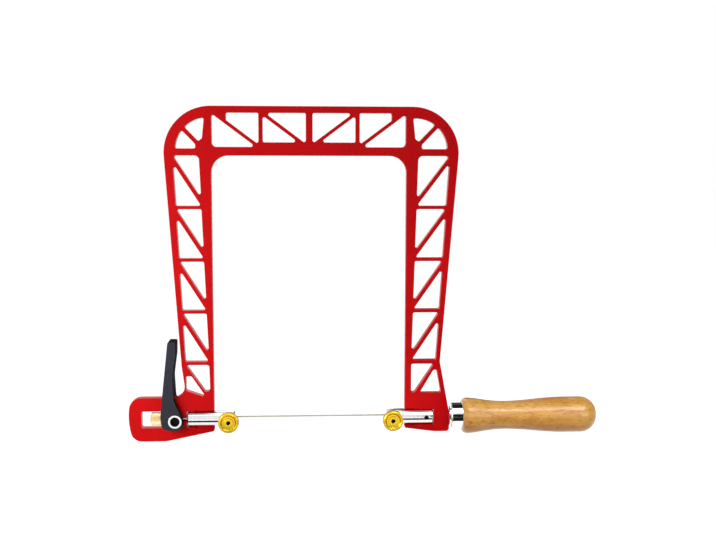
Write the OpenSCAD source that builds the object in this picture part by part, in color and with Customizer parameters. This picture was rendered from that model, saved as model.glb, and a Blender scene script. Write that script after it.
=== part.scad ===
// Fret saw with a pierced plate frame, two swivelling blade clamps and a cam lever that tensions the blade.
// X runs along the blade towards the handle, Z rises from the blade to the spine, and the front faces -Y.
// The origin is on the blade line, halfway across the throat and in the middle of the plate.

/* [Frame] */
// Clear width between the two arms
throat_w = 148.2; // [120:0.1:200]
// Depth from the blade line to the underside of the spine
throat_d = 203.2; // [190:0.1:230]
// Thickness of the frame plate
plate_t = 6.35; // [5.5:0.05:7]
// Height of the spine above the throat
spine_h = 37.1; // [33:0.1:44]
// Width of the toe arm at the top of the throat
toe_arm_top = 35.2; // [31:0.1:42]
// Width of the toe arm at the lowest rung
toe_arm_low = 24.6; // [21:0.1:28]
// Width of the heel arm at the top of the throat
heel_arm_top = 39.8; // [35:0.1:46]
// Width of the heel arm at the lowest rung
heel_arm_low = 27.2; // [24:0.1:31]
// Radius of the two outer corners of the spine
corner_r = 35.5; // [33:0.1:37]
// Radius of the two inner corners of the throat
throat_r = 13; // [6:0.1:18]

/* [Truss] */
// Height of the lowest rung above the blade line
rung_low_z = 44; // [41:0.1:47]
// Height from one rung to the next
rung_pitch = 40; // [36:0.1:43]
// Width of a rung
rung_w = 2.4; // [1.6:0.1:3.4]
// Width of a brace
brace_w = 2.6; // [1.8:0.1:3.4]
// Radius in the corners of the openings
window_r = 1.3; // [0.8:0.1:1.6]
// Rail along the top edge of the spine
spine_top_rail = 5; // [3.5:0.1:7]
// Rail along the underside of the spine in its outer bays
spine_low_rail = 6.5; // [4.5:0.1:8]
// Rail along the underside of the spine in its two middle bays
spine_mid_rail = 10; // [8.5:0.1:11.5]
// Width of the post in the middle of the spine
mid_post_w = 5.1; // [3.5:0.1:7]
// Width of the two posts between the bays of the spine
bay_post_w = 3.1; // [2.4:0.1:4.4]
// Slope of the braces in the spine, in degrees
spine_brace_angle = 36.7; // [34:0.1:38]
// Rail beside the throat at the top of an arm
rail_in_top = 9; // [7:0.1:10]
// Rail beside the throat at the lowest rung of the toe arm
toe_rail_in_low = 3.4; // [3:0.1:4.5]
// Rail beside the throat at the lowest rung of the heel arm
heel_rail_in_low = 4.9; // [4:0.1:6]
// Rail along the outside of an arm at the top
rail_out_top = 6.6; // [5:0.1:8]
// Rail along the outside of an arm at the lowest rung
rail_out_low = 3.1; // [2.8:0.1:4.2]
// Rail around the outer corners of the spine
corner_rail = 8.6; // [7:0.1:10]

/* [Toe and heel] */
// Length of the toe beyond the throat
toe_len = 66.2; // [62:0.1:72]
// Height of the toe above the blade line
toe_top = 17.1; // [16:0.1:19]
// Depth of the toe below the blade line
toe_bottom = 17.1; // [15:0.1:20]
// Wall at the end of the toe, outside its slot
toe_wall = 10.2; // [7:0.1:12]
// Clear height of the slot in the toe
slot_h = 13.2; // [12.6:0.1:14]
// Length of the heel beyond the throat
heel_len = 35; // [34:0.1:40]
// Depth of the heel below the blade line
heel_bottom = 11.7; // [11:0.1:14]

/* [Clamps] */
// Diameter of a clamp rod
rod_d = 12; // [11.4:0.1:12.4]
// Length of a clamp rod inside the frame
rod_seat = 20.6; // [18:0.1:21]
// Distance from the blade end of a rod to its screw
screw_in = 4.5; // [4:0.1:5.5]
// Depth of the blade slot in a rod
jaw_depth = 16; // [13:0.1:17]
// Diameter of a clamp knob
knob_d = 16; // [13:0.1:18]
// Thickness of a clamp knob
knob_h = 5.1; // [4.5:0.1:7]
// Thread diameter of a clamp screw
screw_d = 3; // [2.5:0.1:3.1]
// Head diameter of a clamp screw
screw_head_d = 7; // [6:0.1:8]
// Diameter of a swivel collar
collar_d = 8.4; // [8.1:0.1:8.8]
// Thickness of a swivel collar
collar_t = 3.2; // [2.4:0.1:4]

/* [Blade] */
// Length of the blade
blade_len = 130; // [115:0.5:140]
// Width of the blade over its teeth
blade_w = 1.2; // [0.9:0.1:1.4]
// Thickness of the blade
blade_t = 0.32; // [0.2:0.02:0.5]
// Distance from tooth to tooth
tooth_pitch = 1.7; // [1.2:0.1:2.4]

/* [Tension] */
// Distance from the throat to the lever's pivot
pivot_in = 29.5; // [29.3:0.1:29.9]
// Shank diameter of the pivot screw
pivot_d = 7; // [6.4:0.1:7.2]
// Head diameter of the pivot screw
pivot_head_d = 10.2; // [9:0.1:11]
// Diameter of the tension stud
stud_d = 4; // [3.4:0.1:4.2]
// Diameter of the heads of the two studs
stud_head_d = 7; // [6.4:0.1:7.2]
// Diameter of the tension nut
nut_d = 10.2; // [9:0.1:10.6]
// Length of the tension nut
nut_len = 8.6; // [8:0.1:10]
// Travel that the cam gives in a quarter turn of the lever
cam_travel = 1.2; // [0.8:0.1:1.4]
// Radius of the round cam
cam_r = 6; // [5.8:0.1:6.2]
// Height of the lever above its pivot
lever_len = 61.4; // [56:0.1:64]
// Thickness of each cheek of the lever
cheek_t = 3.8; // [3:0.1:5]

/* [Handle] */
// Outer diameter of the ferrule
ferrule_d = 20.2; // [18:0.1:22]
// Length of the ferrule
ferrule_len = 10.2; // [9:0.1:14]
// Wall of the ferrule
ferrule_wall = 1; // [0.6:0.1:1.4]
// Length of the handle beyond the ferrule
handle_len = 107.3; // [90:0.1:125]
// Largest diameter at the shoulder of the handle
shoulder_d = 27.8; // [24:0.1:31]
// Smallest diameter of the grip
waist_d = 21.9; // [18:0.1:24]
// Largest diameter towards the butt of the handle
belly_d = 27.7; // [24:0.1:32]
// Diameter of the stud that joins the frame and the handle
tang_d = 4.8; // [4:0.1:5]

/* [Hidden] */

$fn = 64;
// One overrun serves every cut
over = 1;
// Angle of each step of a drawn arc of 1 mm radius, in degrees: larger arcs take finer steps
arc_step = 30;
// Radial play of a turning fit, play of a sliding fit and play of a fixed fit
turn_play = 0.05;
slide_play = 0.2;
seat_play = 0.03;

half_w = throat_w / 2;
spine_top = throat_d + spine_h;
bay_top_z = throat_d;

// Rungs in each arm: as many as the throat takes at their pitch
rung_count = max(1, round((throat_d - rung_low_z) / rung_pitch));

// Edges of the two arms: -1 is the toe arm and 1 is the heel arm
function arm_top(side) = side < 0 ? toe_arm_top : heel_arm_top;
function arm_low(side) = side < 0 ? toe_arm_low : heel_arm_low;
function rail_in_low(side) = side < 0 ? toe_rail_in_low : heel_rail_in_low;
function between(low, top, z) = low + (top - low) * (z - rung_low_z) / (throat_d - rung_low_z);
function edge_x(side, z) = half_w + between(arm_low(side), arm_top(side), z);
function rail_out_x(side, z) = edge_x(side, z) - between(rail_out_low, rail_out_top, z);
function rail_in_x(side, z) = half_w + between(rail_in_low(side), rail_in_top, z);

// Outlines: each corner of a list of points becomes an arc of its own radius
function unit(v) = v / norm(v);
function corner(a, b, c, r) =
    r == 0 ? [b] :
    let (u = unit(a - b), v = unit(c - b))
    let (half = acos(max(-1, min(1, u * v))) / 2)
    let (middle = b + unit(u + v) * r / sin(half))
    let (start = b + u * r / tan(half) - middle)
    let (from = atan2(start.y, start.x))
    let (turn = (180 - 2 * half) * (u.x * v.y - u.y * v.x < 0 ? 1 : -1))
    let (steps = max(1, ceil(abs(turn) * sqrt(r) / arc_step)))
    [for (i = [0:steps]) middle + r * [cos(from + turn * i / steps), sin(from + turn * i / steps)]];
function rounded(points, radii) =
    let (n = len(points))
    [for (i = [0:n - 1]) each corner(points[(i + n - 1) % n], points[i], points[(i + 1) % n], radii[i])];
function same(r, n) = [for (i = [1:n]) r];

// Where a line from p at an angle meets a circle
function hit(p, angle, c, r) =
    let (d = [cos(angle), sin(angle)])
    let (b = (p - c) * d)
    p + d * (-b + sqrt(b * b - (p - c) * (p - c) + r * r));

// Toe: the bend in its lower edge, its tip below the clamp, its bowed end and its corners
toe_x = half_w + toe_len;
toe_bend_share = 0.56;
toe_bend_x = half_w + toe_len * toe_bend_share;
toe_tip = 9.5;
toe_corner_r = 9;
toe_foot_r = 8.5;
toe_bow_r = 53;
toe_top_lean = 1.8;
toe_foot_lean = 3.4;
toe_bend_r = 15;
toe_fillet_r = 9;
tip_r = 1.4;
toe_foot_share = 0.32;
toe_foot_x = half_w + toe_len * toe_foot_share;
toe_neck_z = rung_low_z - rung_w;

// Heel: its upright seat for the ferrule, its tip below the clamp and its corners
heel_x = half_w + heel_len;
heel_tip = 8.6;
heel_seat_z = 3;
heel_bend_share = 0.67;
heel_bend_x = half_w + heel_len * heel_bend_share;
heel_bend_r = 20;
heel_corner_r = 2.4;
heel_seat_r = 4;
heel_flare_r = 8;

// Clamp bays: slots through the plate with wider mouths sunk in both faces, and the way behind the front bay
bay_h = rod_d + 2 * turn_play;
front_mouth_play = 1.3;
front_mouth_h = rod_d + 2 * front_mouth_play;
rear_mouth_play = 0.7;
rear_mouth_h = rod_d + 2 * rear_mouth_play;
mouth_sink = 2.2;
front_mouth = 15;
rear_mouth = 8.5;
rod_gap = 0.6;
rear_set_back = 1.7;
front_bay = rod_seat + rod_gap;
rear_bay = front_bay + rear_set_back;
nose_share = 1.1;
nose_d = plate_t * nose_share;
nose_len = 3.1;
stud_hole_d = stud_d + 2 * slide_play;
tang_hole_d = tang_d + 2 * seat_play;

// Places along the blade line, measured from the middle of the throat: the screws are set by the blade
blade_past = 1.35;
screw_span = blade_len - 2 * blade_past;
front_screw_x = (screw_span - rear_set_back) / 2;
rear_screw_x = (screw_span + rear_set_back) / 2;
front_rod_end = half_w + rod_seat;
rear_rod_end = front_rod_end + rear_set_back;
rod_len = front_rod_end - front_screw_x + screw_in;
pivot_x = half_w + pivot_in;

// Cam: a round boss set off centre on each cheek of the lever, and the block that it pushes
cam_off = cam_travel / 2;
cam_gap = 0.1;
block_t = 4;
block_x = pivot_x + cam_r + cam_off + cam_gap;
slot_end_x = block_x - cam_travel - slide_play;
block_h = slot_h - 2 * slide_play;
fork_gap = nut_d + 3 * slide_play;
block_depth = fork_gap - 2 * slide_play;
nut_x = block_x + block_t + cam_gap;
stud_in_nut_share = 0.78;
stud_room = 0.6;

// Lever: outline as offsets outwards from the pivot and upwards, seen from the front
lever_depth = fork_gap + 2 * cheek_t;
tip_depth_share = 0.84;
lever_tip_depth = lever_depth * tip_depth_share;
taper_start_share = 0.35;
lever_flank = 10.8;
lever_hub = 6.7;
crotch_share = 0.65;
crotch_z = toe_len - pivot_in + toe_corner_r * crotch_share;
boss_gap = 0.3;

// Pivot screw, its nut and its washer
pivot_head_t = 2.4;
pivot_sink = 1;
pivot_bore_d = 7.4;
pivot_bore_depth = 0.8;
pivot_socket = 5;
pivot_socket_depth = 2;
pivot_thread_d = 5;
pivot_nut_af = 8;
pivot_nut_t = 4;
washer_d = 10;
washer_t = 0.8;

// Hexagon sockets and nuts are given across their flats
function hex_d(af) = af / cos(30);

// Clamp details
blade_play = 0.09;
jaw_gap = blade_t + 2 * blade_play;
screw_z = -1.2;
blade_z = 1;
rod_chamfer = 0.8;
knob_gap = 0.3;
knob_rim_share = 0.78;
knob_dish = 1.2;
knob_chamfer = 0.7;
knurl_depth = 0.3;
knurl_root_share = 1.2;
knurl_end_share = 0.6;
knurl_count = 48;
screw_socket = 3;
screw_sink = 0.8;
screw_socket_depth = 1.8;
screw_head_t = 2.6;
collar_hole = 0.2;
stud_head_t = 4;
stud_head_gap = 0.2;
set_d = 3.4;
set_socket = 1.7;
set_socket_depth = 1;
set_sink = 0.3;

// Blade details
blade_end_share = 0.05;
tooth_depth_share = 0.3;

// Handle: places of the profile along its length, as shares, and the bore for its stud
ferrule_gap = 0.2;
ferrule_x = heel_x + ferrule_gap;
neck_len = 1.3;
neck_share = 0.72;
ferrule_edge_share = 0.6;
tenon_len = ferrule_len - neck_len - ferrule_wall - ferrule_gap;
handle_x = ferrule_x + ferrule_len;
shoulder_share = 0.04;
waist_share = 0.31;
belly_share = 0.76;
butt_share = 0.88;
neck_ease = 0.8;
butt_steps = 14;
grip_steps = 14;
lip_share = 0.8;
tang_in_handle_share = 0.3;

// Openings of the frame: places of the spine's posts and cuts, and of the fans, as shares
top_window_share = 0.27;
spine_post_share = 0.495;
spine_out_share = 0.992;
spine_cut_share = 0.146;
spine_drop_shares = [0.25, 0.77];
fan_inset_share = 0.93;
fan_root_shares = [1.17, 0.26];
fan_post_shares = [0.45, 0.36];
fan_floor_shares = [0.1, 2.2];
fan_brace_share = 0.6;
fan_angle = 46;
fan_post_angle = 96;

// Two openings of one bay of an arm: a brace runs from its outer upper corner to its inner lower corner
module arm_bay(side, low_z, top_z, top_r) {
    outer_top = [rail_out_x(side, top_z), top_z];
    inner_top = [rail_in_x(side, top_z), top_z];
    inner_low = [rail_in_x(side, low_z), low_z];
    outer_low = [rail_out_x(side, low_z), low_z];
    run = outer_top - inner_low;
    rise = [0, brace_w * norm(run) / run.x];
    polygon(rounded([outer_top, inner_top, inner_low + rise], [window_r, top_r, window_r]));
    polygon(rounded([outer_top - rise, inner_low, outer_low], same(window_r, 3)));
}

// Openings of the arms above the lowest rung
module arm_openings(side) {
    for (i = [0:rung_count - 1]) {
        is_top = i == rung_count - 1;
        low_z = rung_low_z + i * rung_pitch + rung_w / 2;
        top_z = is_top ? bay_top_z : rung_low_z + (i + 1) * rung_pitch - rung_w / 2;
        arm_bay(side, low_z, top_z, is_top ? throat_r * top_window_share : window_r);
    }
}

// Openings at the foot of the toe arm
module toe_foot() {
    top_z = rung_low_z - rung_w / 2;
    out_x = rail_out_x(-1, top_z);
    in_x = rail_in_x(-1, top_z);
    wide = out_x - in_x;
    tall = top_z - toe_top;
    polygon(rounded([[out_x, top_z], [in_x, top_z], [in_x - wide * 0.04, toe_top - tall * 0.05]],
                    [window_r, window_r * 1.5, window_r * 2]));
    polygon(rounded([[out_x, toe_top + tall * 0.66], [out_x - wide * 0.24, toe_top + tall * 0.66],
                     [in_x + wide * 0.13, toe_top], [out_x, toe_top + tall * 0.22]], same(window_r, 4)));
}

// Openings at the foot of the heel arm
module heel_foot() {
    top_z = rung_low_z - rung_w * 0.7;
    out_x = rail_out_x(1, top_z);
    in_x = rail_in_x(1, top_z);
    wide = out_x - in_x;
    foot_z = rod_d * 1.58;
    tall = top_z - foot_z;
    polygon(rounded([[out_x - wide * 0.06, top_z], [in_x, top_z], [in_x, foot_z - tall * 0.16]],
                    [window_r, window_r, window_r * 1.4]));
    slant_z = foot_z + tall * 0.79;
    polygon(rounded([[in_x + wide * 0.34, foot_z], [out_x + wide * 0.23, foot_z],
                     [out_x + wide * 0.05, slant_z], [out_x - wide * 0.09, slant_z]], same(window_r, 4)));
}

// Two openings of the fan in an outer corner, on either side of a brace that runs out from the throat
module fan(side) {
    inset = corner_r * fan_inset_share;
    middle_z = spine_top - inset;
    c = [edge_x(side, middle_z) - inset, middle_z];
    r = inset - corner_rail;
    root = [half_w + rail_in_top * fan_root_shares[0], throat_d + spine_h * fan_root_shares[1]];
    across = [-sin(fan_angle), cos(fan_angle)] * brace_w * fan_brace_share;
    post_foot = root + rail_in_top * [-fan_post_shares[0], fan_post_shares[1]];
    floor_start = [root.x + rail_in_top * fan_floor_shares[0], throat_d + rung_w * fan_floor_shares[1]];
    upper_from = hit(root + across, fan_angle, c, r);
    upper_to = hit(post_foot, fan_post_angle, c, r);
    lower_from = hit(root - across, fan_angle, c, r);
    lower_to = hit(floor_start, 0, c, r);
    polygon(rounded(concat([root + across], arc_points(upper_from, upper_to, c), [post_foot]),
                    fan_radii));
    polygon(rounded(concat([root - across], arc_points(lower_from, lower_to, c), [floor_start]),
                    fan_radii));
}
arc_cuts = 5;
fan_radii = concat([window_r], [for (i = [0:arc_cuts]) i == 0 || i == arc_cuts ? window_r : 0], [window_r]);
function arc_points(from, to, c) =
    let (a = atan2(from.y - c.y, from.x - c.x), b = atan2(to.y - c.y, to.x - c.x), r = norm(from - c))
    [for (i = [0:arc_cuts]) c + r * [cos(a + (b - a) * i / arc_cuts), sin(a + (b - a) * i / arc_cuts)]];

// Two openings of one bay of the spine: the cut trims the narrow corner of the upper one
module spine_bay(out_x, in_x, low_z, cut, drop) {
    top_z = spine_top - spine_top_rail;
    slope = tan(spine_brace_angle);
    start_z = top_z - drop;
    lift = brace_w / cos(spine_brace_angle);
    function upper_z(x) = start_z + lift - (out_x - x) * slope;
    top_x = out_x - (start_z + lift - top_z) / slope;
    polygon(rounded([[out_x, start_z], [out_x, low_z], [out_x - (start_z - low_z) / slope, low_z]],
                    [window_r, cut > 0 ? throat_r * top_window_share : window_r, window_r]));
    if (cut > 0)
        polygon(rounded([[out_x - cut, top_z], [in_x, top_z], [in_x, upper_z(in_x)],
                         [out_x - cut, upper_z(out_x - cut)]], same(window_r, 4)));
    else
        polygon(rounded([[top_x, top_z], [in_x, top_z], [in_x, upper_z(in_x)]], same(window_r, 3)));
}

module spine_openings() {
    post_x = half_w * spine_post_share;
    spine_bay(half_w * spine_out_share, post_x + bay_post_w / 2, throat_d + spine_low_rail,
              half_w * spine_cut_share, brace_w * spine_drop_shares[0]);
    spine_bay(post_x - bay_post_w / 2, mid_post_w / 2, throat_d + spine_mid_rail,
              0, brace_w * spine_drop_shares[1]);
}

// Slot for a clamp rod, open towards the throat
module clamp_bay(depth) {
    translate([half_w - over, -bay_h / 2]) square([depth + over, bay_h]);
}

// Wider mouth of that slot, sunk in both faces of the plate
module bay_mouth(depth, height) {
    for (face = [-1, 1]) scale([1, face, 1])
        translate([half_w - over, plate_t / 2 - mouth_sink, -height / 2])
            cube([depth + over, mouth_sink + over, height]);
}

// Outline of the whole plate, clockwise from the outer corner above the toe
function plate_outline() =
    rounded([[-edge_x(-1, spine_top), spine_top],
             [edge_x(1, spine_top), spine_top],
             [half_w + heel_arm_low, rung_low_z],
             [heel_x, heel_seat_z],
             [heel_x, -heel_bottom],
             [heel_bend_x, -heel_bottom],
             [half_w, -heel_tip],
             [half_w, throat_d],
             [-half_w, throat_d],
             [-half_w, -toe_tip],
             [-toe_bend_x, -toe_bottom],
             [toe_foot_lean - toe_x, -toe_bottom],
             [-toe_x, 0],
             [toe_top_lean - toe_x, toe_top],
             [-toe_foot_x, toe_top],
             [-edge_x(-1, toe_neck_z), toe_neck_z]],
            [corner_r, corner_r, heel_flare_r, heel_seat_r, heel_corner_r, heel_bend_r, tip_r, throat_r,
             throat_r, tip_r, toe_bend_r, toe_foot_r, toe_bow_r, toe_corner_r, toe_fillet_r, toe_corner_r]);

module along_x(from, to, d) {
    translate([from, 0, 0]) rotate([0, 90, 0]) cylinder(d = d, h = to - from);
}

module through_y(from, to, d) {
    translate([0, from, 0]) rotate([-90, 0, 0]) cylinder(d = d, h = to - from);
}

// Frame body

module frame_plate() {
    color("crimson") difference() {
        rotate([90, 0, 0]) linear_extrude(plate_t, center = true) difference() {
            polygon(plate_outline());
            for (side = [-1, 1]) scale([side, 1]) {
                arm_openings(side);
                fan(side);
                spine_openings();
            }
            scale([-1, 1]) toe_foot();
            heel_foot();
            scale([-1, 1]) clamp_bay(front_bay);
            clamp_bay(rear_bay);
            polygon(rounded([[-toe_x + toe_wall, -slot_h / 2], [-slot_end_x, -slot_h / 2],
                             [-slot_end_x, slot_h / 2], [-toe_x + toe_wall, slot_h / 2]], same(window_r, 4)));
        }
        scale([-1, 1, 1]) bay_mouth(front_mouth, front_mouth_h);
        bay_mouth(rear_mouth, rear_mouth_h);
        along_x(-half_w - front_bay - nose_len, -half_w - front_bay + over, nose_d);
        along_x(-slot_end_x - over, -half_w - front_bay, stud_hole_d);
        along_x(half_w + rear_bay - over, heel_x + over, tang_hole_d);
        translate([-pivot_x, 0, 0]) through_y(-plate_t, plate_t, pivot_d + 2 * seat_play);
    }
}

// Half profile of the turned handle: a rounded lip, a shoulder, the waist, the level belly and the round butt
function blend(a, b, t) = a + (b - a) * (1 - cos(180 * t)) / 2;
function neck_t(s) = pow((s - shoulder_share) / (waist_share - shoulder_share), neck_ease);
function belly_t(s) = min(1, (s - waist_share) / (belly_share - waist_share));
function grip_r(s) =
    s < waist_share ? blend(shoulder_d, waist_d, neck_t(s)) / 2 : blend(waist_d, belly_d, belly_t(s)) / 2;
butt_len = handle_len * (1 - butt_share);
handle_profile = concat(
    [[0, -tenon_len],
     [ferrule_d / 2 - ferrule_wall - seat_play, -tenon_len],
     [ferrule_d / 2 - ferrule_wall - seat_play, 0],
     [shoulder_d / 2 * lip_share, 0]],
    [for (i = [1:grip_steps]) let (a = 90 * i / grip_steps)
        [shoulder_d / 2 * (lip_share + (1 - lip_share) * sin(a)),
         handle_len * shoulder_share * (1 - cos(a))]],
    [for (i = [1:2 * grip_steps])
        let (s = shoulder_share + (butt_share - shoulder_share) * i / (2 * grip_steps))
        [grip_r(s), handle_len * s]],
    [for (i = [1:butt_steps]) let (a = 90 * i / butt_steps)
        [belly_d / 2 * cos(a), handle_len * butt_share + butt_len * sin(a)]]);

module handle() {
    color("burlywood") difference() {
        translate([handle_x, 0, 0]) rotate([0, 90, 0]) rotate_extrude() polygon(handle_profile);
        along_x(ferrule_x - over, handle_x + handle_len * tang_in_handle_share, tang_d + 2 * seat_play);
    }
}

module ferrule() {
    outer = ferrule_d / 2;
    hole = tang_d / 2 + seat_play;
    color("gainsboro") translate([ferrule_x, 0, 0]) rotate([0, 90, 0]) rotate_extrude()
        polygon(rounded([[hole, 0], [outer * neck_share, 0], [outer * neck_share, neck_len],
                         [outer, neck_len], [outer, ferrule_len], [outer - ferrule_wall, ferrule_len],
                         [outer - ferrule_wall, neck_len + ferrule_wall], [hole, neck_len + ferrule_wall]],
                        [0, 0, 0, ferrule_wall * ferrule_edge_share, 0, 0, 0, 0]));
}

// The stud's head turns in the rear clamp, and its shank is fixed in the heel and in the handle
rear_head_x = rear_rod_end - collar_t - stud_head_gap - stud_head_t;
module handle_stud() {
    color("silver") {
        along_x(rear_head_x, rear_head_x + stud_head_t, stud_head_d);
        along_x(rear_head_x + stud_head_t, handle_x + handle_len * tang_in_handle_share - seat_play, tang_d);
    }
}

module pivot_screw() {
    half = lever_depth / 2;
    head_y = -half + pivot_sink;
    front_y = head_y - pivot_head_t;
    thread_y = half + washer_t + slide_play;
    color("whitesmoke") translate([-pivot_x, 0, 0]) difference() {
        union() {
            through_y(front_y, head_y, pivot_head_d);
            through_y(head_y, half + slide_play, pivot_d);
            through_y(half + slide_play, thread_y + pivot_nut_t, pivot_thread_d);
        }
        through_y(front_y - over, front_y + pivot_bore_depth, pivot_bore_d);
        translate([0, front_y - over, 0]) rotate([-90, 0, 0])
            cylinder(d = hex_d(pivot_socket), h = pivot_socket_depth + over, $fn = 6);
        along_x(-pivot_d, pivot_d, stud_hole_d);
    }
}

module pivot_washer() {
    half = lever_depth / 2 + slide_play;
    color("silver") translate([-pivot_x, 0, 0]) difference() {
        through_y(half, half + washer_t, washer_d);
        through_y(half - over, half + washer_t + over, pivot_thread_d + 2 * turn_play);
    }
}

module pivot_nut() {
    from = lever_depth / 2 + slide_play + washer_t;
    color("silver") translate([-pivot_x, 0, 0]) difference() {
        translate([0, from, 0]) rotate([-90, 0, 0])
            cylinder(d = hex_d(pivot_nut_af), h = pivot_nut_t, $fn = 6);
        through_y(from - over, from + pivot_nut_t + over, pivot_thread_d + 2 * seat_play);
    }
}

// Lever body

// Outline of the lever seen from the front, outwards from the pivot to the left
lever_outline = rounded(
    [[-lever_hub * 0.92, -lever_hub * 0.5],
     [-lever_hub * 0.62, lever_hub * 0.75],
     [lever_flank * 0.08, lever_len * 0.26],
     [lever_flank * 0.16, lever_len * 0.56],
     [-lever_flank * 0.07, lever_len * 0.84],
     [-lever_flank * 0.09, lever_len],
     [lever_flank * 0.46, lever_len],
     [lever_flank * 0.94, lever_len * 0.22],
     [lever_flank * 1.04, lever_len * 0.05],
     [lever_flank * 0.93, -lever_hub * 1.08],
     [-lever_hub * 0.5, -lever_hub * 1.1]],
    [lever_hub * 0.6, lever_flank, lever_len * 0.3, lever_len * 0.5, lever_len * 0.2, lever_hub * 0.15,
     lever_hub * 0.15, lever_len * 0.3, lever_flank * 0.5, lever_hub * 0.8, lever_hub * 0.7]);

module cam_lever() {
    half = lever_depth / 2;
    inner = fork_gap / 2;
    boss_y = plate_t / 2 + boss_gap;
    color("dimgray") translate([-pivot_x, 0, 0]) difference() {
        union() {
            difference() {
                rotate([90, 0, 0]) linear_extrude(lever_depth, center = true)
                    scale([-1, 1]) polygon(lever_outline);
                translate([0, -inner, 0]) fork_slot();
                for (side = [-1, 1]) lever_taper(side);
            }
            for (side = [-1, 1])
                translate([-cam_off, 0, -cam_off])
                    through_y(side < 0 ? -inner - seat_play : boss_y, side < 0 ? -boss_y : inner + seat_play,
                              2 * cam_r);
        }
        through_y(-half - over, half + over, pivot_d + 2 * turn_play);
        through_y(-half - over, -half + pivot_sink + turn_play, pivot_head_d + 2 * slide_play);
    }
}

// Gap between the cheeks, with a round end below the solid grip of the lever
module fork_slot() {
    wide = 2 * lever_flank + 2 * over;
    translate([-wide / 2, 0, -2 * lever_hub]) cube([wide, fork_gap, 2 * lever_hub + crotch_z - fork_gap / 2]);
    translate([-wide / 2, fork_gap / 2, crotch_z - fork_gap / 2]) rotate([0, 90, 0])
        cylinder(d = fork_gap, h = wide);
}

// Wedge taken off the front or the back of the grip, towards its tip
module lever_taper(side) {
    wide = 2 * lever_flank + 2 * over;
    half = lever_depth / 2;
    drop = (lever_depth - lever_tip_depth) / 2;
    start = lever_len * taper_start_share;
    translate([-wide / 2, 0, 0]) rotate([90, 0, 90]) linear_extrude(wide)
        polygon([[side * half, start], [side * (half - drop), lever_len + over],
                 [side * (half + over), lever_len + over], [side * (half + over), start]]);
}

// Tension train

// The block's corners are as round as the slot's, so that it can go right to the slot's end
module thrust_block() {
    far_x = -block_x - block_t;
    half = block_h / 2;
    color("silver") difference() {
        rotate([90, 0, 0]) linear_extrude(block_depth, center = true)
            polygon(rounded([[far_x, -half], [-block_x, -half], [-block_x, half], [far_x, half]],
                            same(window_r, 4)));
        along_x(-block_x - block_t - over, -block_x + over, stud_hole_d);
    }
}

// Round piece with chamfered ends and a straight knurl around its middle
module knurled(d, h) {
    outer = d / 2;
    core = outer - knurl_depth * knurl_root_share;
    edge = knob_chamfer * knurl_end_share;
    points = [for (i = [0:2 * knurl_count - 1])
                 let (r = i % 2 == 0 ? outer : outer - knurl_depth, a = 180 * i / knurl_count)
                 r * [cos(a), sin(a)]];
    rotate_extrude() polygon([[0, 0], [core - knob_chamfer, 0], [core, knob_chamfer],
                              [core, h - knob_chamfer], [core - knob_chamfer, h], [0, h]]);
    translate([0, 0, edge]) linear_extrude(h - 2 * edge) polygon(points);
}

module tension_nut() {
    color("goldenrod") translate([-nut_x - nut_len, 0, 0]) rotate([0, 90, 0]) difference() {
        knurled(nut_d, nut_len);
        translate([0, 0, nut_len * (1 - stud_in_nut_share) - stud_room])
            cylinder(d = stud_d + 2 * turn_play, h = nut_len);
    }
}

front_head_x = front_rod_end - collar_t - stud_head_gap;
module tension_stud() {
    color("silver") {
        along_x(-nut_x - nut_len * stud_in_nut_share, -front_head_x, stud_d);
        along_x(-front_head_x, -front_head_x + stud_head_t, stud_head_d);
    }
}

// Clamps: drawn for the front clamp, with its blade end towards +X, and mirrored for the rear clamp

module clamp_rod(end_x) {
    pocket = collar_t + 2 * stud_head_gap + stud_head_t;
    r = rod_d / 2;
    tip_x = end_x + rod_len;
    screw_x = tip_x - screw_in;
    difference() {
        translate([end_x, 0, 0]) rotate([0, 90, 0]) rotate_extrude()
            polygon([[0, 0], [r - rod_chamfer, 0], [r, rod_chamfer], [r, rod_len - rod_chamfer],
                     [r - rod_chamfer, rod_len], [0, rod_len]]);
        along_x(end_x - over, end_x + pocket, collar_d);
        translate([tip_x - jaw_depth, -jaw_gap / 2, -rod_d]) cube([jaw_depth + over, jaw_gap, 2 * rod_d]);
        translate([screw_x, 0, screw_z]) through_y(-rod_d, rod_d, screw_d + 2 * turn_play);
    }
}

module swivel_collar(end_x, shank_d) {
    difference() {
        along_x(end_x, end_x + collar_t, collar_d - 2 * seat_play);
        along_x(end_x - over, end_x + collar_t + over, shank_d + 2 * collar_hole);
    }
}

knob_y = -rod_d / 2 - knob_gap;
module clamp_knob(x) {
    rim = knob_d / 2 * knob_rim_share;
    hub_d = screw_head_d + 2 * seat_play;
    bed = knob_h - screw_head_t;
    translate([x, knob_y, screw_z]) rotate([90, 0, 0]) difference() {
        knurled(knob_d, knob_h);
        translate([0, 0, -over]) cylinder(d = screw_d + 2 * seat_play, h = knob_h);
        translate([0, 0, bed]) cylinder(d = hub_d, h = knob_h);
        rotate_extrude() polygon([[0, knob_h - knob_dish], [rim - knob_dish, knob_h - knob_dish],
                                  [rim + over, knob_h + over], [0, knob_h + over]]);
    }
}

module clamp_screw(x) {
    head_y = knob_y - knob_h + screw_head_t;
    tip_y = rod_d / 2 - screw_sink;
    translate([x, 0, screw_z]) difference() {
        union() {
            through_y(head_y, tip_y, screw_d);
            through_y(head_y - screw_head_t, head_y, screw_head_d);
        }
        translate([0, head_y - screw_head_t - over, 0]) rotate([-90, 0, 0])
            cylinder(d = hex_d(screw_socket), h = screw_socket_depth + over, $fn = 6);
    }
}

module front_clamp_rod() { color("lightgray") clamp_rod(-front_rod_end); }
module front_swivel_collar() { color("silver") swivel_collar(-front_rod_end, stud_d); }
module front_clamp_screw() { color("gold") clamp_screw(-front_screw_x); }
module front_clamp_knob() { color("gold") clamp_knob(-front_screw_x); }

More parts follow.
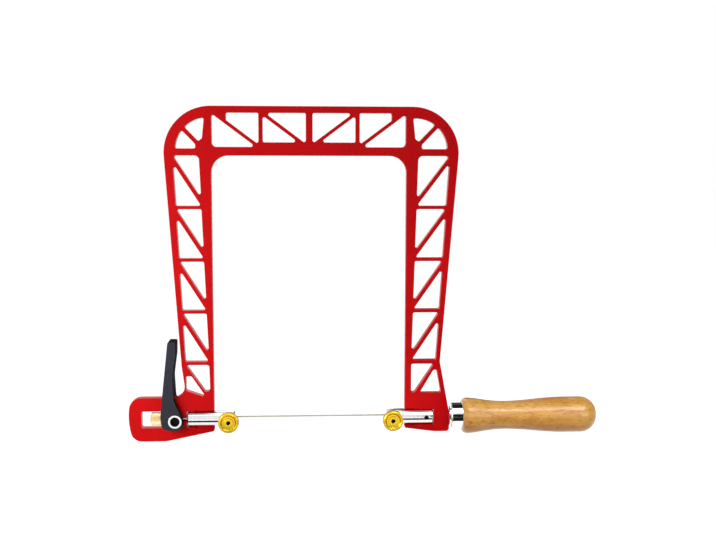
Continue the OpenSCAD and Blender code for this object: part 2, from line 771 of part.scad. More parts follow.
set_x = rear_head_x + stud_head_t / 2;
module rear_clamp_rod() {
    color("lightgray") difference() {
        mirror([1, 0, 0]) clamp_rod(-rear_rod_end);
        translate([set_x, 0, 0]) through_y(-rod_d, 0, set_d + 2 * seat_play);
    }
}
module rear_swivel_collar() { color("silver") mirror([1, 0, 0]) swivel_collar(-rear_rod_end, tang_d); }
module rear_clamp_screw() { color("gold") clamp_screw(rear_screw_x); }
module rear_clamp_knob() { color("gold") clamp_knob(rear_screw_x); }

module rear_set_screw() {
    out_y = -rod_d / 2 + set_sink;
    color("black") translate([set_x, 0, 0]) difference() {
        through_y(out_y, -stud_head_d / 2 - turn_play, set_d);
        translate([0, out_y - over, 0]) rotate([-90, 0, 0])
            cylinder(d = hex_d(set_socket), h = set_socket_depth + over, $fn = 6);
    }
}

// Blade: teeth on its lower edge, with a plain stretch at each end
module blade() {
    middle = (rear_screw_x - front_screw_x) / 2;
    start = middle - blade_len / 2;
    plain = blade_len * blade_end_share;
    depth = blade_w * tooth_depth_share;
    count = floor((blade_len - 2 * plain) / tooth_pitch);
    teeth = [for (i = [0:count - 1]) each [[start + plain + i * tooth_pitch, -blade_w / 2],
                                           [start + plain + (i + 1) * tooth_pitch, -blade_w / 2 + depth]]];
    color("darkkhaki") translate([0, 0, blade_z]) rotate([90, 0, 0]) linear_extrude(blade_t, center = true)
        polygon(concat([[start, -blade_w / 2 + depth], [start + plain, -blade_w / 2 + depth]], teeth,
                       [[start + blade_len, -blade_w / 2 + depth], [start + blade_len, blade_w / 2],
                        [start, blade_w / 2]]));
}

frame_plate();
handle();
ferrule();
handle_stud();
pivot_screw();
pivot_nut();
pivot_washer();
cam_lever();
thrust_block();
tension_nut();
tension_stud();
front_clamp_rod();
front_swivel_collar();
front_clamp_screw();
front_clamp_knob();
rear_clamp_rod();
rear_swivel_collar();
rear_set_screw();
rear_clamp_screw();
rear_clamp_knob();
blade();
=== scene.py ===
import math
import bpy
from mathutils import Matrix, Vector


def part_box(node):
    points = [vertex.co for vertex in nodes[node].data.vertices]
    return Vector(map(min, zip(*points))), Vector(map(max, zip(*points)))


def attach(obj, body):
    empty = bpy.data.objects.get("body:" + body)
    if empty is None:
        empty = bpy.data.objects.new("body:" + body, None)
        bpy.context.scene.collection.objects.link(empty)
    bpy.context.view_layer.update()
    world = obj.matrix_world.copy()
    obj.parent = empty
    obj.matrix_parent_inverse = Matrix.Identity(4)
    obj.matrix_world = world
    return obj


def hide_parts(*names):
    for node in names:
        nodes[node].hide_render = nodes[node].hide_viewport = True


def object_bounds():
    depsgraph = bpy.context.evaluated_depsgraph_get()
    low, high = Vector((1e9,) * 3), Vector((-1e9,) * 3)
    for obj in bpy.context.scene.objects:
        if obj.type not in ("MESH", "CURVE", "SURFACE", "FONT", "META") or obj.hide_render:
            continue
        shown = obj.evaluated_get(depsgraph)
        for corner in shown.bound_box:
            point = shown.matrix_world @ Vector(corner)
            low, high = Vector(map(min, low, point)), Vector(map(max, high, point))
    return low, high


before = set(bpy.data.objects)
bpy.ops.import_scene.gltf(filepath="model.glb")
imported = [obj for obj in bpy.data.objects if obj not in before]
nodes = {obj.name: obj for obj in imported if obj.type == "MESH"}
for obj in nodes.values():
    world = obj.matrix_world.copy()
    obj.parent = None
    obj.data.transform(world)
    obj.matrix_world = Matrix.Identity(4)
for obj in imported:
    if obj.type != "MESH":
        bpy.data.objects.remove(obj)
cadLow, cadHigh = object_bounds()
mm = 0.001
print("saw loaded:", len(nodes), "solids")


# modelling helpers

meshCare = {"mergeGap": 0.002,   # millimetres, points closer than this become one
            "flatAngle": 0.6,    # degrees, faces closer to level than this become one
            "levelWeight": 80}   # how far the broad faces rule the shading of the edges beside them


def deselectAll():
    bpy.ops.object.select_all(action="DESELECT")


def makeActive(piece):
    deselectAll()
    piece.select_set(True)
    bpy.context.view_layer.objects.active = piece


def applyModifiers(piece):
    makeActive(piece)
    for mod in list(piece.modifiers):
        bpy.ops.object.modifier_apply(modifier=mod.name)


def softCopy(nodeName, pieceName, width, segments, edgeAngle, smoothAngle=32):
    # a copy of the solid with its edges broken, as a machinist would leave them, in millimetres and degrees
    piece = bpy.data.objects.new(pieceName, nodes[nodeName].data.copy())
    bpy.context.scene.collection.objects.link(piece)
    makeActive(piece)
    bpy.ops.object.mode_set(mode="EDIT")
    bpy.ops.mesh.select_all(action="SELECT")
    bpy.ops.mesh.remove_doubles(threshold=meshCare["mergeGap"] * mm)
    bpy.ops.mesh.dissolve_limited(angle_limit=math.radians(meshCare["flatAngle"]))
    bpy.ops.mesh.select_all(action="DESELECT")
    bpy.ops.object.mode_set(mode="OBJECT")
    bevel = piece.modifiers.new("brokenEdges", "BEVEL")
    bevel.width = width * mm
    bevel.segments = segments
    bevel.limit_method = "ANGLE"
    bevel.angle_limit = math.radians(edgeAngle)
    bevel.use_clamp_overlap = True
    applyModifiers(piece)
    bpy.ops.object.shade_smooth_by_angle(angle=math.radians(smoothAngle))
    level = piece.modifiers.new("levelFaces", "WEIGHTED_NORMAL")
    level.weight = meshCare["levelWeight"]
    level.keep_sharp = True
    applyModifiers(piece)
    return piece


def turnedPiece(pieceName, profile, steps, smoothAngle=40):
    # a lathe profile of (x, r) pairs in millimetres, spun about the saw's long axis
    deselectAll()
    startX, startR = profile[0]
    bpy.ops.mesh.primitive_plane_add(size=1 * mm, location=(startX * mm, 0, startR * mm))
    piece = bpy.context.object
    piece.name = pieceName
    bpy.ops.object.transform_apply(location=True, rotation=True, scale=True)
    bpy.ops.object.mode_set(mode="EDIT")
    bpy.ops.mesh.select_all(action="SELECT")
    bpy.ops.mesh.merge(type="CENTER")
    for (x0, r0), (x1, r1) in zip(profile, profile[1:]):
        bpy.ops.mesh.extrude_vertices_move(
            TRANSFORM_OT_translate={"value": ((x1 - x0) * mm, 0, (r1 - r0) * mm)})
    bpy.ops.mesh.select_all(action="SELECT")
    bpy.ops.mesh.spin(steps=steps, angle=2 * math.pi, center=(0, 0, 0), axis=(1, 0, 0))
    bpy.ops.mesh.select_all(action="SELECT")
    bpy.ops.mesh.remove_doubles(threshold=meshCare["mergeGap"] * mm)
    bpy.ops.mesh.normals_make_consistent(inside=False)
    bpy.ops.object.mode_set(mode="OBJECT")
    makeActive(piece)
    bpy.ops.object.shade_smooth_by_angle(angle=math.radians(smoothAngle))
    return piece


def fit(piece, body, material, nodeName):
    piece.data.materials.clear()
    piece.data.materials.append(material)
    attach(piece, body)
    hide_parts(nodeName)


def secondFinish(piece, material, wanted):
    # the faces that pass the test get a finish of their own
    piece.data.materials.append(material)
    for face in piece.data.polygons:
        if wanted(face):
            face.material_index = len(piece.data.materials) - 1


def paintSocketShade(piece, centre, socket, material):
    # the recess in the head of a screw, on the side towards the camera, painted dark as painted shade
    front = min(v.co.y for v in piece.data.vertices)

    def inSocket(face):
        away = math.hypot(face.center.x - centre[0], face.center.z - centre[1])
        depth = face.center.y - front
        return away < socket["radius"] * mm and socket["from"] * mm < depth < socket["to"] * mm

    secondFinish(piece, material, inSocket)


# node helpers

def feed(tree, socket, value):
    # a number or a colour is set on the socket, and another node's output is linked to it
    if isinstance(value, (int, float)):
        socket.default_value = value
    elif isinstance(value, tuple):
        socket.default_value = (*value, 1)
    else:
        tree.links.new(value, socket)


def mathNode(tree, operation, *values):
    node = tree.nodes.new("ShaderNodeMath")
    node.operation = operation
    for socket, value in zip(node.inputs, values):
        feed(tree, socket, value)
    return node.outputs[0]


def rangeNode(tree, value, low, high, fromLow=0.0, fromHigh=1.0):
    node = tree.nodes.new("ShaderNodeMapRange")
    for name, part in (("Value", value), ("From Min", fromLow), ("From Max", fromHigh),
                       ("To Min", low), ("To Max", high)):
        feed(tree, node.inputs[name], part)
    return node.outputs["Result"]


def noiseNode(tree, vector, scale, detail, roughness=0.5):
    node = tree.nodes.new("ShaderNodeTexNoise")
    for name, part in (("Vector", vector), ("Scale", scale), ("Detail", detail), ("Roughness", roughness)):
        feed(tree, node.inputs[name], part)
    return node.outputs["Fac"]


def colourMix(tree, mask, first, second):
    mix = tree.nodes.new("ShaderNodeMix")
    mix.data_type = "RGBA"
    for i, part in ((0, mask), (6, first), (7, second)):   # 6 and 7 take colours
        feed(tree, mix.inputs[i], part)
    return mix.outputs[2]


def bumpFrom(tree, shader, height, strength, distance):
    bump = tree.nodes.new("ShaderNodeBump")
    for name, part in (("Height", height), ("Strength", strength), ("Distance", distance)):
        feed(tree, bump.inputs[name], part)
    tree.links.new(bump.outputs["Normal"], shader.inputs["Normal"])


# effects that several finishes share

def newGroup(groupName, inputs, outputs):
    # an input without a number is a vector
    group = bpy.data.node_groups.new(groupName, "ShaderNodeTree")
    for socketName, value in inputs.items():
        kind = "NodeSocketVector" if value is None else "NodeSocketFloat"
        socket = group.interface.new_socket(name=socketName, in_out="INPUT", socket_type=kind)
        if value is not None:
            socket.default_value = value
    for socketName in outputs:
        group.interface.new_socket(name=socketName, in_out="OUTPUT", socket_type="NodeSocketFloat")
    return group, group.nodes.new("NodeGroupInput").outputs, group.nodes.new("NodeGroupOutput").inputs


def makeMottleGroup():
    # soft cloudy patches with a fine speckle in them
    group, given, result = newGroup(
        "finishMottle",
        {"Vector": None, "Patch Scale": 40.0, "Speckle Scale": 1500.0, "Speckle Share": 0.4},
        ("Mask", "Speckle"))
    patches = noiseNode(group, given["Vector"], given["Patch Scale"], detail=3)
    speckle = noiseNode(group, given["Vector"], given["Speckle Scale"], detail=2)
    mix = group.nodes.new("ShaderNodeMix")
    for i, part in ((0, given["Speckle Share"]), (2, patches), (3, speckle)):   # 2 and 3 take numbers
        feed(group, mix.inputs[i], part)
    group.links.new(mix.outputs[0], result["Mask"])
    group.links.new(speckle, result["Speckle"])
    return group


def makeLatheGroup():
    # fine tool marks that change only along one direction, and broader bands of them
    group, given, result = newGroup("latheMarks", {"Along": 0.0, "Density": 6000.0}, ("Height", "Bands"))
    for outName, share, detail in (("Height", 1.0, 2.0), ("Bands", 0.12, 3.0)):
        place = mathNode(group, "MULTIPLY", given["Along"], given["Density"])
        marks = group.nodes.new("ShaderNodeTexNoise")
        marks.noise_dimensions = "1D"
        group.links.new(mathNode(group, "MULTIPLY", place, share), marks.inputs["W"])
        marks.inputs["Scale"].default_value = 1.0
        marks.inputs["Detail"].default_value = detail
        group.links.new(marks.outputs["Fac"], result[outName])
    return group


scuffShape = {"turn": (0.3, 0.2, 0.5), "stretch": (1.0, 1.0, 14.0), "detail": 4, "roughness": 0.6,
              "band": (0.62, 0.72)}


def makeScuffGroup():
    # sparse thin handling marks
    group, given, result = newGroup("handlingScuffs", {"Vector": None, "Scale": 90.0}, ("Mask",))
    stretch = group.nodes.new("ShaderNodeMapping")
    stretch.inputs["Rotation"].default_value = scuffShape["turn"]
    stretch.inputs["Scale"].default_value = scuffShape["stretch"]
    group.links.new(given["Vector"], stretch.inputs["Vector"])
    lines = noiseNode(group, stretch.outputs[0], given["Scale"],
                      scuffShape["detail"], scuffShape["roughness"])
    group.links.new(rangeNode(group, lines, 0.0, 1.0, *scuffShape["band"]), result["Mask"])
    return group


mottleGroup = makeMottleGroup()
latheGroup = makeLatheGroup()
scuffGroup = makeScuffGroup()


def placeGroup(tree, group, values):
    node = tree.nodes.new("ShaderNodeGroup")
    node.node_tree = group
    for name, value in values.items():
        feed(tree, node.inputs[name], value)
    return node.outputs


def placeMottle(tree, place, look):
    return placeGroup(tree, mottleGroup, {"Vector": place, "Patch Scale": look["patches"],
                                          "Speckle Scale": look["speckle"], "Speckle Share": look["share"]})


# finishes

def newFinish(name):
    material = bpy.data.materials.new(name)
    material.use_nodes = True
    tree = material.node_tree
    coords = tree.nodes.new("ShaderNodeTexCoord")
    return material, tree, tree.nodes["Principled BSDF"], coords.outputs["Object"]


# in each finish the depths are metres, and the bands are the part of a noise that counts
anodisedLayer = {"band": (0.3, 0.7), "speckleDepth": 0.0002}
redLook = {"bright": (0.70, 0.0020, 0.0042), "deep": (0.58, 0.0015, 0.0032), "rough": (0.26, 0.36),
           "metallic": 0.30, "specular": 0.12, "patches": 22.0, "speckle": 2600.0, "share": 0.35,
           "scuffs": 60.0, "scuffRough": 0.06, "bump": 0.04}
leverLook = {"bright": (0.025, 0.027, 0.039), "deep": (0.014, 0.015, 0.023), "rough": (0.36, 0.48),
             "metallic": 0.0, "specular": 0.25, "patches": 60.0, "speckle": 3200.0, "share": 0.5,
             "scuffs": 120.0, "scuffRough": -0.08, "bump": 0.10}
# painted shade for the lever: near black with almost no gloss, for the top of the tip and the side facing
# right
leverShadeLook = {**leverLook, "bright": (0.005, 0.005, 0.006), "deep": (0.002, 0.002, 0.003), "rough": (0.60, 0.75),
           "specular": 0.012}


def makeAnodised(name, look):
    material, tree, shader, place = newFinish(name)
    mottle = placeMottle(tree, place, look)
    scuffs = placeGroup(tree, scuffGroup, {"Vector": place, "Scale": look["scuffs"]})
    shade = rangeNode(tree, mottle["Mask"], 0.0, 1.0, *anodisedLayer["band"])
    tree.links.new(colourMix(tree, shade, look["deep"], look["bright"]), shader.inputs["Base Color"])
    rough = rangeNode(tree, mottle["Mask"], *look["rough"], *anodisedLayer["band"])
    worn = mathNode(tree, "MULTIPLY", scuffs["Mask"], look["scuffRough"])
    tree.links.new(mathNode(tree, "ADD", rough, worn), shader.inputs["Roughness"])
    shader.inputs["Metallic"].default_value = look["metallic"]
    shader.inputs["Specular IOR Level"].default_value = look["specular"]
    bumpFrom(tree, shader, mottle["Speckle"], look["bump"], anodisedLayer["speckleDepth"])
    return material


turnedFace = {"patches": 90.0, "speckle": 2200.0, "share": 0.3, "band": (0.35, 0.65), "markDepth": 0.00006}


def makeTurnedMetal(name, look, centre=None):
    # tool marks round the saw's long axis, or round a line along Y through the centre that is given
    material, tree, shader, place = newFinish(name)
    split = tree.nodes.new("ShaderNodeSeparateXYZ")
    if centre is None:
        tree.links.new(place, split.inputs[0])
        along = split.outputs["X"]
    else:
        shift = tree.nodes.new("ShaderNodeMapping")
        shift.inputs["Location"].default_value = (-centre[0], 0.0, -centre[1])
        tree.links.new(place, shift.inputs["Vector"])
        tree.links.new(shift.outputs[0], split.inputs[0])
        squareX = mathNode(tree, "POWER", split.outputs["X"], 2.0)
        squareZ = mathNode(tree, "POWER", split.outputs["Z"], 2.0)
        radius = mathNode(tree, "SQRT", mathNode(tree, "ADD", squareX, squareZ))
        along = mathNode(tree, "ADD", radius, split.outputs["Y"])
    marks = placeGroup(tree, latheGroup, {"Along": along, "Density": look["marks"]})
    mottle = placeMottle(tree, place, turnedFace)
    mean = mathNode(tree, "MULTIPLY", mathNode(tree, "ADD", marks["Bands"], mottle["Mask"]), 0.5)
    shade = rangeNode(tree, mean, 0.0, 1.0, *turnedFace["band"])
    tree.links.new(colourMix(tree, shade, look["dull"], look["bright"]), shader.inputs["Base Color"])
    smooth, coarse = look["rough"]
    tree.links.new(rangeNode(tree, shade, coarse, smooth), shader.inputs["Roughness"])
    shader.inputs["Metallic"].default_value = 1.0
    bumpFrom(tree, shader, marks["Height"], look["bump"], turnedFace["markDepth"])
    return material


woodLook = {"pale": (0.800, 0.445, 0.110), "honey": (0.640, 0.305, 0.042), "dark": (0.430, 0.150, 0.008),
            "amber": (0.590, 0.225, 0.018), "rough": (0.36, 0.50), "specular": 0.15,
            "coat": 0.90, "coatRough": 0.30, "figureShare": 0.55, "cloudShare": 0.80, "poreShare": 0.85,
            "shadeBand": (0.43, 0.57), "cloudBand": (0.44, 0.64), "poreBand": (0.54, 0.68),
            "bump": 0.10, "poreDepth": 0.0001}
woodGrain = {"figure": {"along": 0.12, "scale": 240.0, "detail": 4, "roughness": 0.6,
                        "turn": (0.0, 0.03, 0.02)},
             "clouds": {"along": 0.45, "scale": 75.0, "detail": 3, "roughness": 0.55},
             "fibres": {"along": 0.05, "scale": 2200.0, "detail": 3, "roughness": 0.6},
             "pores": {"along": 0.30, "scale": 850.0, "detail": 2, "roughness": 0.5}}


def makeVarnishedWood():
    material, tree, shader, place = newFinish("varnishedWood")
    look = woodLook

    def grain(name):
        # noise drawn out along the handle
        shape = woodGrain[name]
        stretch = tree.nodes.new("ShaderNodeMapping")
        stretch.inputs["Rotation"].default_value = shape.get("turn", (0.0, 0.0, 0.0))
        stretch.inputs["Scale"].default_value = (shape["along"], 1.0, 1.0)
        tree.links.new(place, stretch.inputs["Vector"])
        return noiseNode(tree, stretch.outputs[0], shape["scale"], shape["detail"], shape["roughness"])

    figure = mathNode(tree, "MULTIPLY", grain("figure"), look["figureShare"])
    fibres = mathNode(tree, "MULTIPLY", grain("fibres"), 1 - look["figureShare"])
    shade = rangeNode(tree, mathNode(tree, "ADD", figure, fibres), 0.0, 1.0, *look["shadeBand"])
    clouds = rangeNode(tree, grain("clouds"), 0.0, look["cloudShare"], *look["cloudBand"])
    pores = rangeNode(tree, grain("pores"), 0.0, 1.0, *look["poreBand"])
    base = colourMix(tree, shade, look["honey"], look["pale"])
    base = colourMix(tree, clouds, base, look["amber"])
    base = colourMix(tree, mathNode(tree, "MULTIPLY", pores, look["poreShare"]), base, look["dark"])
    tree.links.new(base, shader.inputs["Base Color"])
    smooth, coarse = look["rough"]
    tree.links.new(rangeNode(tree, shade, coarse, smooth), shader.inputs["Roughness"])
    shader.inputs["Specular IOR Level"].default_value = look["specular"]
    shader.inputs["Coat Weight"].default_value = look["coat"]
    shader.inputs["Coat Roughness"].default_value = look["coatRough"]
    bumpFrom(tree, shader, mathNode(tree, "SUBTRACT", 1.0, pores), look["bump"], look["poreDepth"])
    return material


metalLooks = {
    "mirrorSteel": {"bright": (0.86, 0.86, 0.87), "dull": (0.76, 0.76, 0.77), "rough": (0.05, 0.10),
                    "marks": 5200, "bump": 0.02},
    "chromePlate": {"bright": (0.88, 0.88, 0.89), "dull": (0.80, 0.80, 0.81), "rough": (0.03, 0.07),
                    "marks": 4200, "bump": 0.03},
    "plainSteel": {"bright": (0.62, 0.62, 0.63), "dull": (0.48, 0.48, 0.49), "rough": (0.22, 0.36),
                   "marks": 4200, "bump": 0.12},
    "nutBrass": {"bright": (0.84, 0.70, 0.42), "dull": (0.72, 0.57, 0.30), "rough": (0.30, 0.42),
                 "marks": 5200, "bump": 0.08},
    # the knurled rim: brass painted darker, as the painted shade of its grooves
    "knurlShadeBrass": {"bright": (0.46, 0.27, 0.030), "dull": (0.30, 0.17, 0.020), "rough": (0.30, 0.45),
                   "marks": 3600, "bump": 0.10},
    "bladeSteel": {"bright": (0.60, 0.55, 0.45), "dull": (0.44, 0.40, 0.33), "rough": (0.28, 0.42),
                   "marks": 2600, "bump": 0.08},
    # the set screw's own black oxide, and the painted shade inside the screw sockets
    "blackOxideAndShade": {"bright": (0.012, 0.012, 0.013), "dull": (0.004, 0.004, 0.005), "rough": (0.3, 0.5),
                    "marks": 4200, "bump": 0.05}}

redAnodised = makeAnodised("redAnodised", redLook)
blackAnodised = makeAnodised("blackAnodised", leverLook)
leverPaintedShade = makeAnodised("leverPaintedShade", leverShadeLook)
varnishedWood = makeVarnishedWood()
metals = {name: makeTurnedMetal(name, look) for name, look in metalLooks.items()}
print("finishes made:", len(bpy.data.materials))


# frame plate

plateEdge = {"width": 0.32, "segments": 3, "edgeAngle": 36}
framePlate = softCopy("frame_plate", "framePlate", **plateEdge)
fit(framePlate, "frame", redAnodised, "frame_plate")
print("frame plate:", len(framePlate.data.polygons), "faces")


# lever and its pivot

leverEdge = {"width": 1.0, "segments": 4, "edgeAngle": 42, "smoothAngle": 40}
# painted shade: the top of the lever's tip and its side facing right are painted near black
leverShadeFaces = {"tip": 2.0, "tilt": 0.5}   # the tip's depth, and how squarely a face looks up or to the right
camLever = softCopy("cam_lever", "camLever", **leverEdge)
fit(camLever, "lever", blackAnodised, "cam_lever")
leverTop = max(v.co.z for v in camLever.data.vertices)


# the faces that get the painted shade: the top of the tip, and the side facing right
def inLeverShade(face):
    onTip = face.normal.z > leverShadeFaces["tilt"] and face.center.z > leverTop - leverShadeFaces["tip"] * mm
    return onTip or face.normal.x > leverShadeFaces["tilt"]


secondFinish(camLever, leverPaintedShade, inLeverShade)

pivotLook = {"bright": (0.90, 0.90, 0.90), "dull": (0.76, 0.76, 0.77), "rough": (0.10, 0.20),
             "marks": 4800, "bump": 0.08}
pivotEdge = {"segments": 3, "edgeAngle": 40}
pivotSocket = {"radius": 3.75, "from": 0.25, "to": 2.2}
pivotLow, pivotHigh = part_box("pivot_screw")
pivotCentre = ((pivotLow.x + pivotHigh.x) / 2, 0.0)
pivotSteel = makeTurnedMetal("pivotSteel", pivotLook, pivotCentre)
for nodeName, pieceName, width in (("pivot_screw", "pivotScrew", 0.22), ("pivot_nut", "pivotNut", 0.25),
                                   ("pivot_washer", "pivotWasher", 0.12)):
    piece = softCopy(nodeName, pieceName, width, **pivotEdge)
    fit(piece, "frame", pivotSteel, nodeName)
    if nodeName == "pivot_screw":
        paintSocketShade(piece, pivotCentre, pivotSocket, metals["blackOxideAndShade"])
print("lever and pivot done")


# clamps: polished bars, brass thumb screws and the small dark screw

rodEdge = {"width": 0.18, "segments": 3, "edgeAngle": 30}
for nodeName, pieceName, body in (("front_clamp_rod", "frontClampRod", "front_clamp"),
                                  ("rear_clamp_rod", "rearClampRod", "rear_clamp")):
    piece = softCopy(nodeName, pieceName, **rodEdge)
    fit(piece, body, metals["mirrorSteel"], nodeName)

knobLook = {"bright": (0.89, 0.64, 0.046), "dull": (0.76, 0.48, 0.028), "rough": (0.18, 0.30),
            "marks": 3600, "bump": 0.16}
knobEdge = {"width": 0.10, "segments": 2, "edgeAngle": 24}
screwEdge = {"width": 0.18, "segments": 2, "edgeAngle": 24}
screwSocket = {"radius": 1.78, "from": 0.12, "to": 2.0}
knurlTilt = 0.6   # the knurled rim is made of the faces that look less to the front or back than this


def onKnurl(face):
    return abs(face.normal.y) < knurlTilt


for side in ("front", "rear"):
    low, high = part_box(side + "_clamp_knob")
    centre = ((low.x + high.x) / 2, (low.z + high.z) / 2)
    brass = makeTurnedMetal(side + "KnobBrass", knobLook, centre)
    knob = softCopy(side + "_clamp_knob", side + "ClampKnob", **knobEdge)
    fit(knob, side + "_knob", brass, side + "_clamp_knob")
    # the knurled rim gets the darker brass, painted shade of its grooves
    secondFinish(knob, metals["knurlShadeBrass"], onKnurl)
    screw = softCopy(side + "_clamp_screw", side + "ClampScrew", **screwEdge)
    fit(screw, side + "_knob", brass, side + "_clamp_screw")
    paintSocketShade(screw, centre, screwSocket, metals["blackOxideAndShade"])

setScrewEdge = {"width": 0.12, "segments": 2, "edgeAngle": 30}
setScrew = softCopy("rear_set_screw", "rearSetScrew", **setScrewEdge)
fit(setScrew, "rear_clamp", metals["blackOxideAndShade"], "rear_set_screw")
print("clamps done")


# tension train and blade

nutEdge = {"width": 0.08, "segments": 2, "edgeAngle": 24}
tensionNut = softCopy("tension_nut", "tensionNut", **nutEdge)
fit(tensionNut, "nut", metals["nutBrass"], "tension_nut")
blockEdge = {"width": 0.3, "segments": 3, "edgeAngle": 30}
thrustBlock = softCopy("thrust_block", "thrustBlock", **blockEdge)
fit(thrustBlock, "thrust", metals["plainSteel"], "thrust_block")
for nodeName, metalName in (("tension_stud", "plainSteel"), ("handle_stud", "plainSteel"),
                            ("front_swivel_collar", "plainSteel"), ("rear_swivel_collar", "plainSteel"),
                            ("blade", "bladeSteel")):
    nodes[nodeName].data.materials.clear()
    nodes[nodeName].data.materials.append(metals[metalName])
print("tension train done")


# handle and ferrule

# lengths in millimetres, while the lip and the places along the handle are shares
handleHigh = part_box("handle")[1]
handleShape = {"length": 107.3, "shoulder": 13.9, "waist": 10.95, "belly": 13.85, "lip": 0.80,
               "tenon": 9.0, "tenonLength": 0.4, "shoulderAt": 0.04, "waistAt": 0.31, "bellyAt": 0.76,
               "buttAt": 0.88, "neckEase": 0.8, "lipPoints": 12, "bodyPoints": 56, "buttPoints": 24,
               "steps": 96}


def quarterTurn(count, first=1):
    # angles up to a right angle in even steps
    return [math.radians(90 * i / count) for i in range(first, count + 1)]


def easeBetween(a, b, t):
    return a + (b - a) * (1 - math.cos(math.pi * t)) / 2


def handleProfile():
    shape = handleShape
    length, tenon, shoulder, lip = (shape[name] for name in ("length", "tenon", "shoulder", "lip"))
    shoulderAt, waistAt, buttAt = shape["shoulderAt"], shape["waistAt"], shape["buttAt"]
    start = handleHigh.x / mm - length
    points = [(start - shape["tenonLength"], tenon), (start, tenon), (start, shoulder * lip)]
    for a in quarterTurn(shape["lipPoints"]):
        points.append((start + length * shoulderAt * (1 - math.cos(a)),
                       shoulder * (lip + (1 - lip) * math.sin(a))))
    for i in range(1, shape["bodyPoints"] + 1):
        s = shoulderAt + (buttAt - shoulderAt) * i / shape["bodyPoints"]
        if s < waistAt:
            t = ((s - shoulderAt) / (waistAt - shoulderAt)) ** shape["neckEase"]
            r = easeBetween(shoulder, shape["waist"], t)
        else:
            t = min(1.0, (s - waistAt) / (shape["bellyAt"] - waistAt))
            r = easeBetween(shape["waist"], shape["belly"], t)
        points.append((start + length * s, r))
    for a in quarterTurn(shape["buttPoints"]):
        points.append((start + length * (buttAt + (1 - buttAt) * math.sin(a)), shape["belly"] * math.cos(a)))
    return points


handleGrip = turnedPiece("handleGrip", handleProfile(), handleShape["steps"])
fit(handleGrip, "frame", varnishedWood, "handle")

ferruleLow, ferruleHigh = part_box("ferrule")
ferruleShape = {"hole": 2.43, "neck": 7.27, "neckLength": 1.3, "wall": 1.0, "edge": 0.6, "rim": 0.15,
                "guard": 0.1, "edgePoints": 8, "steps": 128}


def ferruleProfile():
    shape = ferruleShape
    hole, neck, wall, edge, rim = (shape[name] for name in ("hole", "neck", "wall", "edge", "rim"))
    start, end = ferruleLow.x / mm, ferruleHigh.x / mm
    outer = (ferruleHigh.z - ferruleLow.z) / 2 / mm
    face = start + shape["neckLength"]
    points = [(start, hole), (start, neck - rim), (start + rim, neck), (face, neck)]
    for a in quarterTurn(shape["edgePoints"], 0):
        points.append((face + edge * (1 - math.cos(a)), outer - edge * (1 - math.sin(a))))
    # guard rings keep the soft edges from shading the long wall between them
    points += [(face + edge + shape["guard"], outer), (end - rim - shape["guard"], outer)]
    points += [(end - rim, outer), (end, outer - rim), (end, outer - wall)]
    points += [(face + wall, outer - wall), (face + wall, hole), (start, hole)]
    return points


ferruleCup = turnedPiece("ferruleCup", ferruleProfile(), ferruleShape["steps"])
fit(ferruleCup, "frame", metals["chromePlate"], "ferrule")
print("handle and ferrule done")


# floor, cards, lamps and the world's light, in metres

def seenRays(tree):
    # one where the camera looks, directly or in gloss or through something clear
    path = tree.nodes.new("ShaderNodeLightPath").outputs
    seen = mathNode(tree, "MAXIMUM", path["Is Camera Ray"], path["Is Glossy Ray"])
    return mathNode(tree, "MAXIMUM", seen, path["Is Transmission Ray"])


def stageMaterial(name, colour, glow, glowShare, bounce=1.0):
    # glows where it is seen, mixed with paper that takes light and shadow
    material = bpy.data.materials.new(name)
    material.use_nodes = True
    tree = material.node_tree
    tree.nodes.remove(tree.nodes["Principled BSDF"])
    emit = tree.nodes.new("ShaderNodeEmission")
    emit.inputs["Color"].default_value = (*colour, 1)
    emit.inputs["Strength"].default_value = glow
    diffuse = tree.nodes.new("ShaderNodeBsdfDiffuse")
    mix = tree.nodes.new("ShaderNodeMixShader")
    seen = seenRays(tree)
    dim = tuple(c * bounce for c in colour)
    tree.links.new(colourMix(tree, seen, dim, colour), diffuse.inputs["Color"])
    tree.links.new(mathNode(tree, "MULTIPLY", seen, glowShare), mix.inputs[0])
    tree.links.new(diffuse.outputs[0], mix.inputs[1])
    tree.links.new(emit.outputs[0], mix.inputs[2])
    tree.links.new(mix.outputs[0], tree.nodes["Material Output"].inputs["Surface"])
    return material


floorLook = {"size": 14.0, "centreX": 0.04, "drop": 0.0004, "colour": (0.9, 0.9, 0.9), "glow": 1.52,
             "share": 0.70, "bounce": 0.35}
floorZ = cadLow.z - floorLook["drop"]
deselectAll()
bpy.ops.mesh.primitive_plane_add(size=floorLook["size"], location=(floorLook["centreX"], 0, floorZ))
floor = bpy.context.object
floor.name = "studioFloor"
bpy.ops.object.transform_apply(location=True, rotation=True, scale=True)
floor.data.materials.append(stageMaterial("paleFloor", floorLook["colour"], floorLook["glow"],
                                          floorLook["share"], floorLook["bounce"]))

# dark cards that show only in gloss: one with a turn, in degrees, stands up and the others lie flat
cards = {"lowStrip": {"at": (0.0, -0.034, floorZ + 0.0002), "size": (0.216, 0.028), "shade": 0.015},
         "lowRoom": {"at": (0.36, -0.27, floorZ + 0.0003), "size": (0.50, 0.48), "shade": 0.012},
         "frontRoom": {"at": (0.47, -0.52, floorZ + 0.13), "size": (0.62, 0.25), "shade": 0.012, "turn": 0},
         "ceiling": {"at": (-0.78, 0.19, 0.80), "size": (1.26, 1.02), "shade": 0.28},
         "ceilingStrip": {"at": (0.1775, 0.19, 0.80), "size": (0.045, 1.02), "shade": 0.28},
         "ceilingEnd": {"at": (0.70, 0.28, 0.80), "size": (1.00, 0.84), "shade": 0.012},
         "backRoom": {"at": (0.50, 0.35, floorZ + 0.30), "size": (0.80, 0.60), "shade": 0.06, "turn": 0},
         "sideRoom": {"at": (0.72, -0.06, floorZ + 0.28), "size": (0.80, 0.56), "shade": 0.06, "turn": 90}}
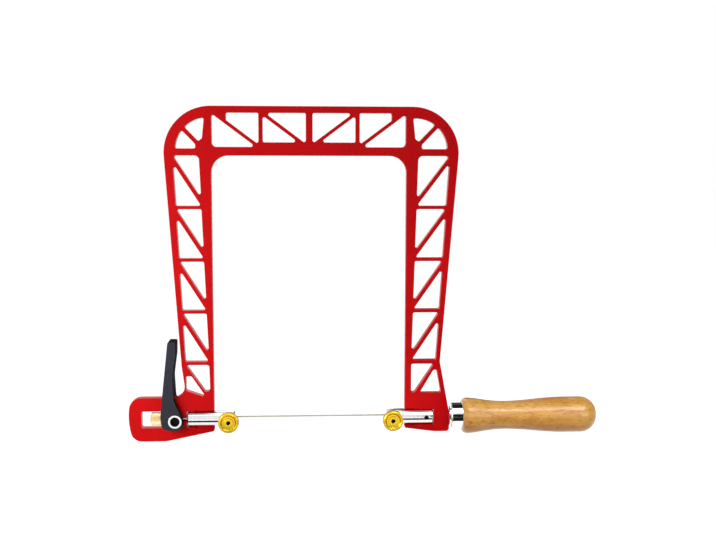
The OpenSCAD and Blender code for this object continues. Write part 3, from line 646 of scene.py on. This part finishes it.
for cardName, card in cards.items():
    deselectAll()
    tilt = math.radians(90) if "turn" in card else 0.0
    bpy.ops.mesh.primitive_plane_add(size=1.0, location=card["at"],
                                     rotation=(tilt, 0, math.radians(card.get("turn", 0))))
    piece = bpy.context.object
    piece.name = cardName
    piece.scale = (*card["size"], 1)
    bpy.ops.object.transform_apply(location=True, rotation=True, scale=True)
    paint = stageMaterial(cardName + "Paint", (card["shade"],) * 3, glow=1.0, glowShare=1.0)
    piece.data.materials.append(paint)
    piece.visible_camera = False
    piece.visible_diffuse = False
    piece.visible_shadow = False

lamps = {"keyLamp": {"at": (-0.32, -0.24, 0.11), "aim": (-0.10, 0, 0.08), "size": (0.24, 0.20),
                     "watts": 1.05},
         "fillLamp": {"at": (0.32, -0.28, 0.06), "aim": (0.12, 0, 0.04), "size": (0.22, 0.16), "watts": 0.36},
         "gripLamp": {"at": (0.31, -0.40, 0.48), "aim": (0.17, 0, 0), "size": (0.34, 0.16), "watts": 0.12,
                      "spread": 36},
         "topLamp": {"at": (0.05, -0.30, 1.20), "aim": (0.03, 0, 0.11), "size": (0.80, 0.80), "watts": 1.8},
         "rearLamp": {"at": (0.3, 1.2, 0.9), "aim": (0.03, 0, 0.11), "size": (1.00, 1.00), "watts": 4.0}}
for lampName, lamp in lamps.items():
    data = bpy.data.lights.new(lampName, "AREA")
    data.shape = "RECTANGLE"
    data.size, data.size_y = lamp["size"]
    data.energy = lamp["watts"]
    data.spread = math.radians(lamp.get("spread", 180))
    light = bpy.data.objects.new(lampName, data)
    bpy.context.scene.collection.objects.link(light)
    light.location = lamp["at"]
    towards = Vector(lamp["aim"]) - Vector(lamp["at"])
    light.rotation_euler = towards.to_track_quat("-Z", "Y").to_euler()
    light.visible_camera = False

worldLook = {"dim": 0.15, "white": 1.0}   # as light on the saw, and as seen
world = bpy.data.worlds.new("studioWorld")
bpy.context.scene.world = world
world.use_nodes = True
sky = world.node_tree
background = sky.nodes["Background"]
background.inputs["Color"].default_value = (1, 1, 1, 1)
strength = rangeNode(sky, seenRays(sky), worldLook["dim"], worldLook["white"])
sky.links.new(strength, background.inputs["Strength"])
bpy.context.scene.view_settings.view_transform = "Standard"

# the photograph's viewpoint, in millimetres and degrees
cameraPlace = {"at": (-5.37, -765.92, 202.07), "pitch": -6.424, "yaw": -3.193, "roll": -0.149,
               "lens": 50.28, "sensor": 36.0}
cameraData = bpy.data.cameras.new("photoCamera")
cameraData.sensor_fit = "HORIZONTAL"
cameraData.sensor_width = cameraPlace["sensor"]
cameraData.lens = cameraPlace["lens"]
camera = bpy.data.objects.new("photoCamera", cameraData)
bpy.context.scene.collection.objects.link(camera)
heading = (Matrix.Rotation(math.radians(cameraPlace["yaw"]), 3, "Z")
           @ Matrix.Rotation(math.radians(cameraPlace["pitch"]), 3, "X")
           @ Matrix.Rotation(math.radians(cameraPlace["roll"]), 3, "Y"))
upright = Matrix.Rotation(math.radians(90), 3, "X")   # a camera looks down until it is turned up
camera.matrix_world = Matrix.Translation(Vector(cameraPlace["at"]) * mm) @ (heading @ upright).to_4x4()
bpy.context.scene.camera = camera
print("studio done")
